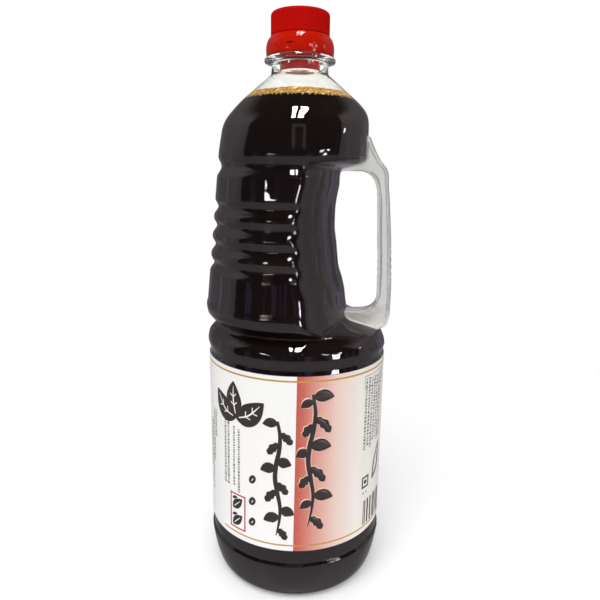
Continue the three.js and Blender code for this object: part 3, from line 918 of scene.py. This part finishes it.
def handle_finish():
    """Clear moulded plastic, cloudy at the foot, where it is thick and bears on the bottle."""
    made = Finish("clear_moulded", Roughness=0.12, IOR=1.48)
    cloud = made.spread(made.parts()["Z"], *CLOUD_ENDS)
    tint = made.mottled((0.64, 0.635, 0.62, 1), (0.74, 0.735, 0.725, 1), 35)
    made.paint(made.mix(cloud, tint, CLOUD_COLOUR))
    change = CLOUD_CLEARNESS - HANDLE_CLEARNESS
    made.paint(made.math("MULTIPLY_ADD", cloud, change, HANDLE_CLEARNESS), "Transmission Weight")
    made.relief(made.noise(160, 2), 0.2, 0.002)
    return made


def liquid_finish():
    made = Finish("dark_soy", Roughness=0.3, Specular_IOR_Level=0.0)
    made.paint(made.mottled(colour(15, 10, 9), colour(27, 17, 14), 22, 2))
    return made


def foam_finish():
    """Golden bubbles, some of them dark, and some painted bright as glints of light."""
    made = Finish("golden_froth", Roughness=0.3, Specular_IOR_Level=0.2)
    cells = made.cells(BUBBLES, "Distance")
    base = made.ramp(cells, BUBBLE_COLOURS)
    specks_and_glints = made.cells(SPECKS_AND_GLINTS, "Color")
    # Some cells are painted near white as glints: painted highlights
    base = made.mix(made.spread(specks_and_glints, 0.74, 0.8), base, colour(255, 244, 206))
    base = made.mix(made.spread(specks_and_glints, 0.24, 0.16), base, colour(132, 90, 36))
    made.paint(base)
    made.relief(cells, 0.9, 0.0005)
    return made


def label_finish():
    """White paper with a colour panel that fades to the right, cream paper behind it and two gold lines."""
    made = Finish("printed_wrap", Roughness=0.38, Specular_IOR_Level=0.35)
    parts = made.parts()
    lean = made.math("MULTIPLY_ADD", parts["Z"], -LABEL_LEAN / LABEL_RADIUS / MM,
                     LABEL_LEAN * LABEL_TOP / LABEL_RADIUS)
    angle = made.math("ADD", made.math("ARCTAN2", parts["Y"], parts["X"]), lean)
    inside = made.spread(angle, PANEL_EDGE, PANEL_EDGE + EDGE_SOFT)
    panel = made.ramp(made.spread(angle, PANEL_EDGE, PANEL_END), PANEL_COLOURS)
    white = made.mottled(colour(250, 249, 247), colour(245, 244, 241), 60)
    cream = made.mottled(colour(250, 248, 241), colour(247, 244, 236), 60)
    base = made.mix(made.times(inside, made.math("LESS_THAN", angle, CREAM_END)), white, cream)
    grain = made.mix(0.12, panel, made.mottled(panel, colour(250, 235, 225), 900, 2))
    base = made.mix(made.times(inside, made.math("LESS_THAN", angle, PANEL_END)), base, grain)
    high = made.within(parts["Z"], *GOLD_HIGH, GOLD_SOFT)
    low = made.times(made.within(parts["Z"], *GOLD_LOW, GOLD_SOFT),
                     made.math("GREATER_THAN", angle, GOLD_START))
    gold = made.mottled(colour(190, 135, 52), colour(206, 160, 84), 400, 2)
    made.paint(made.mix(made.math("MAXIMUM", high, low), base, gold))
    made.relief(made.noise(240, 4), 0.05, 0.0004)
    return made


def print_finish(name, first, second):
    made = Finish(name, Roughness=0.4, Specular_IOR_Level=0.3)
    made.paint(made.mottled(first, second, 300))
    return made


def plastic_finish(name, first, second, roughness, shine, grain):
    """Red plastic; the plug's underside is a pale disc, painted white and made to glow as painted light for
    the bright band refracted in the neck.
    """
    made = Finish(name, Roughness=roughness, Specular_IOR_Level=shine, Emission_Color=DISC_PAINTED_LIGHT)
    # Below this height the plug is painted white and made to glow: painted light, not a lamp
    disc = made.math("LESS_THAN", made.parts()["Z"], GLOWING_DISC_TOP)
    made.paint(made.mix(disc, made.mottled(first, second, 160), DISC_PAINTED_LIGHT))
    made.paint(made.times(disc, DISC_GLOW), "Emission Strength")
    made.relief(made.noise(900, 2), grain, 0.0002)
    return made


PRINT_INKS = {
    "ink": ("black_ink", colour(48, 40, 38), colour(60, 50, 46)),
    "halo": ("pale_ink", colour(240, 190, 178), colour(244, 204, 194)),
    "grey": ("grey_ink", colour(120, 116, 114), colour(150, 146, 142)),
    "red": ("red_ink", colour(190, 44, 52), colour(204, 62, 66)),
    "pale": ("paper_white", colour(246, 244, 240), colour(250, 249, 247)),
}


def wear(piece, finish, slot, *nodes):
    """Puts a finish on a piece, which rides on the bottle and stands for these nodes of the frame."""
    piece.data.materials.clear()
    piece.data.materials.append(finish.material)
    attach(piece, "root")
    if nodes:
        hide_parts(*nodes)


wear(bottle_shell(), shell_finish(), "clear_bottle", "bottle")
wear(liquid_body(), liquid_finish(), "dark_liquid", "soy_sauce")
wear(foam_layer(), foam_finish(), "golden_foam", "foam")
wear(label_wrap(), label_finish(), "printed_label", "label")
wear(handle_grip(), handle_finish(), "clear_handle", "handle")
lid = plastic_finish("deep_red", colour(180, 10, 8), colour(190, 16, 9), 0.45, 0.012, 0.05)
wear(cap_top(), lid, "deep_red_plastic", "cap_lid")
skirt = plastic_finish("orange_red", colour(180, 20, 7), colour(190, 28, 10), 0.05, 0.1, 0.01)
wear(cap_skirt(), skirt, "orange_red_plastic", "cap_base")
printed = printed_pieces()
for key, ink in PRINT_INKS.items():
    wear(printed[key], print_finish(*ink), "printed_label")


# Stage

CAMERA_PLACE = (62.95, -311.87, 232.6)
# How far the camera is turned from +Y, tipped down and rolled, in degrees
CAMERA_TURN, CAMERA_PITCH, CAMERA_ROLL = 11.145, 12.509, 0.681
FOCAL_PIXELS, FRAME_PIXELS, SENSOR = 561.13, 600, 36
FACING = Vector((CAMERA_PLACE[0], CAMERA_PLACE[1], 0)).normalized()
MIDDLE_HEIGHT = 0.15
FLOOR_RINGS, FLOOR_TOP, FLOOR_BOTTOM, FLOOR_GLOW = (420, 300, 150, 50), -0.05, -2, 0.22
# The room is drawn by direction: front is 1 towards the camera's side of the bottle and -1 behind it,
# and height is the sine of the elevation. Each part of it begins or ends between two values of these
WALLS_FRONT, WALLS_HEAD, WALLS_FOOT = (0.15, 0.1), (0.8, 0.6), (-0.42, -0.28)
WALLS_DARKEN, WALL_GLOW, BACK_GLOW, WALLS_BRIGHTEN, WALL_RISE = (-0.17, -0.87), 0.5, 0.12, (0.05, 0.65), 1.7
BANDS, BANDS_EDGE, BANDS_HEAD = 7, (0.5, 0.72), (0.25, 0.02)
DOOR_SIDE, DOOR_FOOT, DOOR_HEAD = (0.984, 0.988), (0.29, 0.32), (0.56, 0.54)
OPENING_SIDE, OPENING_HEAD = (0.994, 0.997), (0.5, 0.46)
TABLE_REACH, TABLE_EDGE, TABLE_BACK, TABLE_GLOW = (-0.5, 0.6), (-0.24, -0.34), 0.32, 0.68
BACK_EDGE = (0.3, -0.1)


def pale_floor():
    rounds = level_rings(all_round(96), [(radius, FLOOR_TOP) for radius in FLOOR_RINGS])
    floor = skin("pale_floor", rounds, FLOOR_BOTTOM, FLOOR_TOP)
    floor.data.shade_flat()
    made = Finish("pale_floor", Roughness=0.9, Specular_IOR_Level=0.1, Emission_Color=(1, 1, 1, 1),
                  Emission_Strength=FLOOR_GLOW)
    made.paint(made.mottled((0.9, 0.9, 0.9, 1), (0.87, 0.87, 0.87, 1), 6))
    floor.data.materials.append(made.material)
    floor.visible_glossy = False


def studio_world():
    """A dim room in front of the bottle, white walls beside it that darken to the back."""
    world = bpy.data.worlds.new("studio")
    world.use_nodes = True
    bpy.context.scene.world = world
    made = Nodes(world.node_tree)
    node, ramp, times, blend = made.node, made.spread, made.times, made.mix
    way = node("TexCoord").outputs["Generated"]
    flat = node("VectorMath", {0: way, 1: (1, 1, 0)}, operation="MULTIPLY").outputs[0]
    level = node("VectorMath", {0: flat}, operation="NORMALIZE").outputs[0]
    front = node("VectorMath", {0: level, 1: FACING}, operation="DOT_PRODUCT").outputs["Value"]
    height = node("SeparateXYZ", {"Vector": way}).outputs["Z"]
    walls = times(ramp(front, *WALLS_FRONT), ramp(height, *WALLS_HEAD))
    walls = times(walls, ramp(front, *WALLS_DARKEN, WALL_GLOW, BACK_GLOW))
    walls = times(walls, ramp(height, *WALLS_BRIGHTEN, 1, WALL_RISE))
    walls = times(walls, ramp(height, *WALLS_FOOT))
    # Faint upright bands of furniture and curtains in the dim room
    bands = node("TexNoise", {"Vector": level, "Scale": BANDS, "Detail": 3.0}).outputs["Fac"]
    bands = times(ramp(bands, *BANDS_EDGE), ramp(height, *BANDS_HEAD))
    room = blend(bands, (0.05, 0.045, 0.05, 1), (0.5, 0.42, 0.8, 1))
    # A dim doorway in the room, with a darker opening in its middle
    door = times(ramp(front, *DOOR_SIDE), times(ramp(height, *DOOR_FOOT), ramp(height, *DOOR_HEAD)))
    opening = times(ramp(front, *OPENING_SIDE), ramp(height, *OPENING_HEAD))
    room = blend(door, room, (0.52, 0.48, 0.52, 1))
    room = blend(times(door, opening), room, (0.08, 0.07, 0.08, 1))
    # The table top, lit in front of the bottle and dark behind it
    table = ramp(front, *TABLE_REACH, TABLE_BACK, TABLE_GLOW)
    shades = {"Red": table, "Green": times(table, 0.93), "Blue": times(table, 0.97)}
    room = blend(ramp(height, *TABLE_EDGE), room, node("CombineColor", shades).outputs[0])
    # What gloss, clear plastic, plain surfaces and the camera see of it
    gloss = blend(walls, room, (1, 0.9, 0.94, 1))
    through = blend(ramp(front, *BACK_EDGE), (0.68, 0.66, 0.64, 1), (1.16, 1.17, 1.14, 1))
    path = node("LightPath").outputs
    shade = blend(path["Is Transmission Ray"], gloss, through)
    shade = blend(path["Is Diffuse Ray"], shade, (0.55, 0.55, 0.55, 1))
    shade = blend(path["Is Camera Ray"], shade, (1, 1, 1, 1))
    made.join(shade, made.nodes["Background"].inputs["Color"])


def lamp(name, place, turn, width, height, radiance):
    """A soft rectangular lamp at place, in metres; it shines down where turn is 0."""
    data = bpy.data.lights.new(name, "AREA")
    data.shape, data.size, data.size_y = "RECTANGLE", width, height
    data.energy = radiance * math.pi * width * height
    made = put(name, data)
    made.location, made.rotation_euler = place, turn
    made.visible_camera = False
    return made


def towards(turn, elevation, distance, height=MIDDLE_HEIGHT):
    """A place seen from the bottle at this turn from the camera (left is positive) and elevation."""
    turn, elevation = math.radians(turn), math.radians(elevation)
    flat = Matrix.Rotation(-turn, 3, "Z") @ FACING
    rise = Vector((0, 0, height + math.sin(elevation) * distance))
    return flat * math.cos(elevation) * distance + rise


# The key light's turn, elevation and distance, its width and height, and its radiance
KEY_PLACE, KEY_SIZE, KEY_GLOW = (14, 60, 1.6), (1.1, 0.9), 5.6
CEILING, STRIP_TILT = 1.7, math.radians(6)
# Ceiling strips: how far left of the bottle, and how wide
STRIPS = {"left_strip": (0.152, 0.11), "right_strip": (-0.066, 0.175)}
STRIP_MIDDLE, STRIP_LENGTH, STRIP_GLOW = 0.54, 0.98, 60
WINDOW_GLOW, WINDOW_DISTANCE, WINDOW_HEIGHT = 24, 1.5, 0.225
# Corners of the bright windows, as turn from the camera and elevation in degrees
WINDOWS = {
    "left_window": [(45, 9.2), (44.4, 4), (28.5, 4.9)],
    "right_window": [(-30, 13), (-30, 10), (-43, 10), (-43, 13)],
    "far_right_window": [(-50, 13), (-50, 9.5), (-57, 9.5), (-57, 13)],
    "side_lamp": [(-86, 14), (-86, 11), (-90, 11), (-90, 14)],
    "low_panel": [(-43, 2), (-43, -16.5), (-53, -16.5), (-53, 2)],
}


def lights():
    place = towards(*KEY_PLACE)
    turn = (Vector((0, 0, MIDDLE_HEIGHT)) - place).to_track_quat("-Z", "Y").to_euler()
    key = lamp("key_light", place, turn, *KEY_SIZE, KEY_GLOW)
    key.visible_glossy = key.visible_transmission = False
    left = Matrix.Rotation(-math.pi / 2, 3, "Z") @ FACING
    turn = (0, 0, math.atan2(FACING.y, FACING.x) - math.pi / 2 - STRIP_TILT)
    for name, (side, width) in STRIPS.items():
        place = left * side + FACING * STRIP_MIDDLE + Vector((0, 0, CEILING))
        strip = lamp(name, place, turn, width, STRIP_LENGTH, STRIP_GLOW)
        strip.visible_diffuse = strip.visible_transmission = False
    made = Finish("window_light", Emission_Color=(1, 0.97, 1, 1), Emission_Strength=WINDOW_GLOW)
    for name, window in WINDOWS.items():
        corners = [towards(*corner, WINDOW_DISTANCE, WINDOW_HEIGHT) / MM for corner in window]
        pane = make_mesh(name, corners, [tuple(range(len(corners)))])
        pane.data.materials.append(made.material)
        pane.visible_camera = pane.visible_transmission = pane.visible_diffuse = False


def camera():
    data = bpy.data.cameras.new("camera")
    data.sensor_width = SENSOR
    data.lens = FOCAL_PIXELS * SENSOR / FRAME_PIXELS
    made = put("camera", data)
    turn, pitch, roll = (math.radians(v) for v in (CAMERA_TURN, CAMERA_PITCH, CAMERA_ROLL))
    view = Matrix.Rotation(turn, 4, "Z") @ Matrix.Rotation(math.pi / 2 - pitch, 4, "X")
    made.matrix_world = Matrix.Translation(Vector(CAMERA_PLACE) * MM) @ view @ Matrix.Rotation(roll, 4, "Z")
    bpy.context.scene.camera = made


pale_floor()
studio_world()
lights()
camera()
bpy.context.scene.view_settings.view_transform = "Standard"
